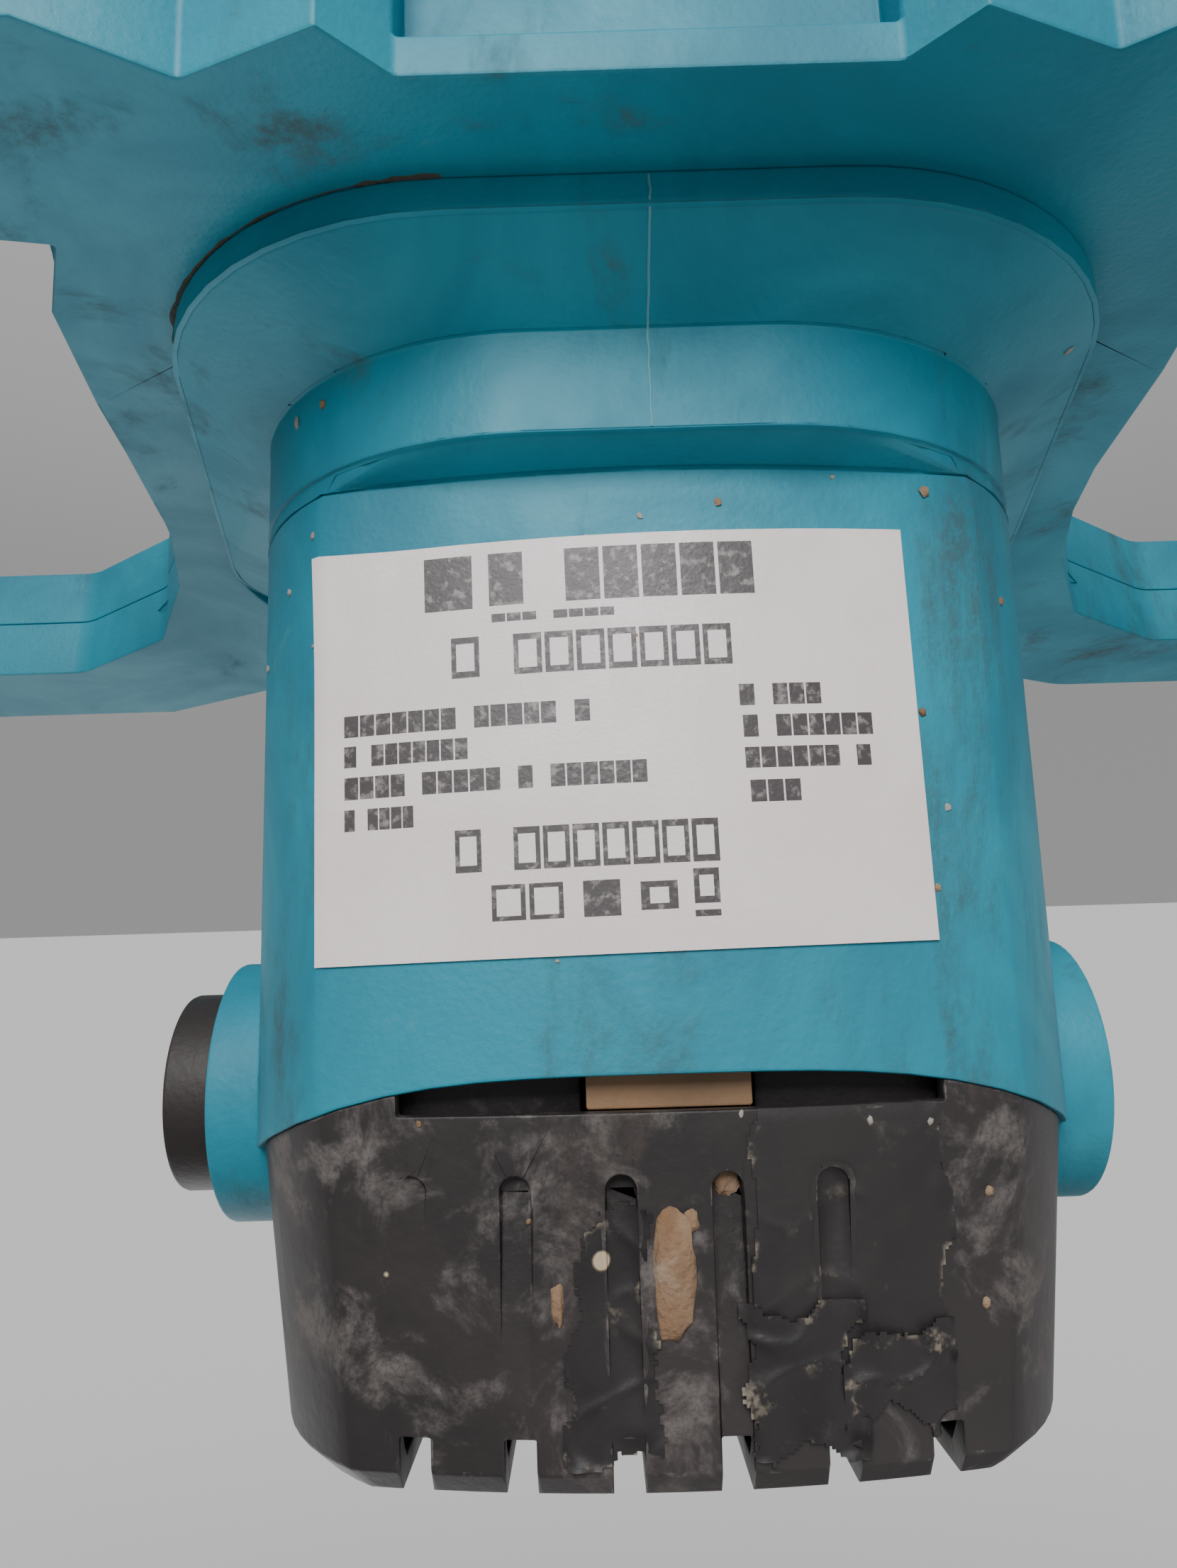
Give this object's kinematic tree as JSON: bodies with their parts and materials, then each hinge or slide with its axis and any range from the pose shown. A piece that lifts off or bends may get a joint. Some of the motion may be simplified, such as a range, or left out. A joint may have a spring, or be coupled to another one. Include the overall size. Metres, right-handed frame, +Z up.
{
  "type": "handheld mortar mixer",
  "caption": "Handheld electric mortar mixer: teal motor unit in a two-handed yoke frame, black vented cap on top, and a helical ribbon paddle on a screw-in rod.",
  "frame": {"origin": "point on the spindle axis in the middle of the handle frame, between the two hand grips", "axes": "+Z up along the spindle axis towards the vented cap, with the paddle hanging down -Z; -Y the label side; +X the side of the proud brush cap"},
  "size_m": [0.423, 0.2149, 0.8647],
  "materials": {
    "teal_nylon": "fine-textured moulded nylon, satin",
    "black_nylon": "scuffed moulded nylon with mortar residue",
    "label_film": "printed film, satin",
    "black_gloss": "phenolic, glossy",
    "control_plastic": "satin",
    "brown_phenolic": "moulded phenolic",
    "grip_rubber": "soft, ribbed",
    "cast_alu": "die cast, dull",
    "gasket_fibre": "pressed fibre",
    "zinc_steel": "zinc plated",
    "ground_steel": "ground and oiled",
    "gear_steel": "hardened, greased",
    "bearing_steel": "polished",
    "core_steel": "stacked laminations, varnished",
    "enamelled_copper": "enamelled wire, varnished",
    "commutator_copper": "turned segments",
    "holder_brass": "stamped",
    "carbon": "pressed graphite",
    "fan_nylon": "moulded",
    "circuit_board": "lacquered board and potting",
    "paddle_paint": "orange enamel, worn and crusted"
  },
  "bodies": {
    "motor_unit": {"motor_housing": "teal_nylon", "top_cap": "black_nylon", "rating_label": "label_film", "brush_cap_left": "black_gloss", "brush_cap_right": "black_gloss", "brush_holder_left": "holder_brass", "brush_holder_right": "holder_brass", "brush_spring_left": "zinc_steel", "brush_spring_right": "zinc_steel", "commutator_bracket": "brown_phenolic", "stator_core": "core_steel", "field_coils": "enamelled_copper", "fan_baffle": "control_plastic", "cap_screws": "zinc_steel", "frame_upper_shell": "teal_nylon", "frame_lower_shell": "teal_nylon", "grip_sleeve_left": "grip_rubber", "grip_sleeve_right": "grip_rubber", "trigger_spring": "zinc_steel", "switch_body": "control_plastic", "speed_module": "circuit_board", "cord_gland": "grip_rubber", "frame_screws": "zinc_steel", "gear_case_cover": "cast_alu", "case_gasket": "gasket_fibre", "gear_case": "cast_alu", "case_bolts": "zinc_steel", "armature_outer_races": "bearing_steel", "lay_outer_races": "bearing_steel", "spindle_outer_races": "bearing_steel", "spindle_seal": "grip_rubber"},
    "paddle_drive": {"spindle": "ground_steel", "spindle_gear": "gear_steel", "spindle_key": "zinc_steel", "spindle_inner_races": "bearing_steel", "spindle_balls": "bearing_steel", "spindle_spacer": "ground_steel", "spindle_circlip": "zinc_steel", "paddle_upper_rod": "paddle_paint", "paddle_lower_rod": "paddle_paint", "paddle_ribbons": "paddle_paint", "paddle_ring": "paddle_paint"},
    "layshaft": {"lay_shaft": "ground_steel", "lay_gear": "gear_steel", "lay_inner_races": "bearing_steel", "lay_balls": "bearing_steel"},
    "armature": {"armature_shaft": "ground_steel", "armature_core": "core_steel", "armature_windings": "enamelled_copper", "commutator": "commutator_copper", "cooling_fan": "fan_nylon", "armature_inner_races": "bearing_steel", "armature_balls": "bearing_steel"},
    "trigger": {"trigger": "control_plastic"},
    "lock_button": {"lock_button": "control_plastic"},
    "speed_dial": {"speed_dial": "control_plastic"},
    "brush_left": {"carbon_brush_left": "carbon"},
    "brush_right": {"carbon_brush_right": "carbon"}
  },
  "joints": [
    {"name": "spindle_spin", "type": "hinge", "parent": "motor_unit", "child": "paddle_drive", "pos_m": [0, 0, 0], "axis": [0, 0, 1], "continuous": true},
    {"name": "layshaft_spin", "type": "hinge", "parent": "motor_unit", "child": "layshaft", "pos_m": [0, 0.03, 0], "axis": [0, 0, 1], "continuous": true},
    {"name": "armature_spin", "type": "hinge", "parent": "motor_unit", "child": "armature", "pos_m": [0, 0, 0], "axis": [0, 0, 1], "continuous": true},
    {"name": "trigger_press", "type": "slide", "parent": "motor_unit", "child": "trigger", "axis": [-1, 0, 0], "range_m": [0, 0.006], "stiffness_N_per_m": 700, "springref_m": -0.004, "deforming": ["trigger_spring"]},
    {"name": "lock_press", "type": "slide", "parent": "motor_unit", "child": "lock_button", "axis": [0, 0.1392, -0.9903], "range_m": [0, 0.003], "stiffness_N_per_m": 400, "springref_m": -0.003},
    {"name": "speed_dial_turn", "type": "hinge", "parent": "motor_unit", "child": "speed_dial", "pos_m": [-0.122, -0.06222, 0.01038], "axis": [0, -0.1392, 0.9903], "range_deg": [0, 280]},
    {"name": "brush_left_slide", "type": "slide", "parent": "motor_unit", "child": "brush_left", "axis": [1, 0, 0], "range_m": [0, 0.004], "stiffness_N_per_m": 400, "springref_m": -0.006, "deforming": ["brush_spring_left"]},
    {"name": "brush_right_slide", "type": "slide", "parent": "motor_unit", "child": "brush_right", "axis": [-1, 0, 0], "range_m": [0, 0.004], "stiffness_N_per_m": 400, "springref_m": -0.006, "deforming": ["brush_spring_right"]}
  ],
  "couplings": [
    {"joint": "layshaft_spin", "follows": "spindle_spin", "ratio": -3.8},
    {"joint": "armature_spin", "follows": "spindle_spin", "ratio": 19}
  ]
}
